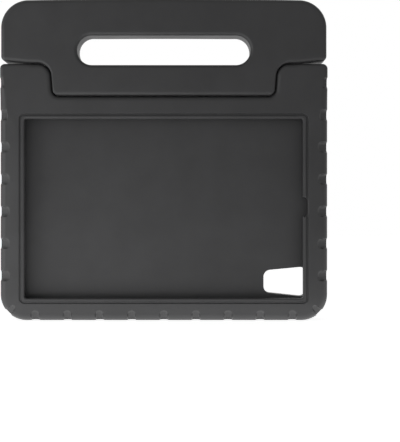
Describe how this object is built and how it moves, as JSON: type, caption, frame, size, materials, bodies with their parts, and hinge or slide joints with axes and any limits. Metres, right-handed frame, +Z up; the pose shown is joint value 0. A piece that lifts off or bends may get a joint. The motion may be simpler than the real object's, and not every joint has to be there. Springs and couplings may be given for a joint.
{
  "type": "kids tablet case",
  "caption": "Moulded foam case for a small tablet, with a framed screen window, a notched rim and a carrying handle that folds back as a foot.",
  "frame": {"origin": "centre of the bounding box at the base that the case stands on", "axes": "+X along the long side, to the right as the screen is seen; +Y from the screen side to the back; +Z up, from the base to the carrying handle"},
  "size_m": [0.212, 0.0248, 0.2081],
  "materials": {
    "foam": "satin black moulded closed-cell foam with a faint grain",
    "hinge_plastic": "matte dark grey"
  },
  "bodies": {
    "case": {"case_body": "foam", "hinge_bush_left": "hinge_plastic", "hinge_bush_right": "hinge_plastic"},
    "handle": {"carry_handle": "foam", "hinge_pin_left": "hinge_plastic", "hinge_pin_right": "hinge_plastic"}
  },
  "joints": [
    {"name": "handle_fold", "type": "hinge", "parent": "case", "child": "handle", "pos_m": [0, 0.00125, 0.15565], "axis": [-1, 0, 0], "range_deg": [0, 100]}
  ]
}
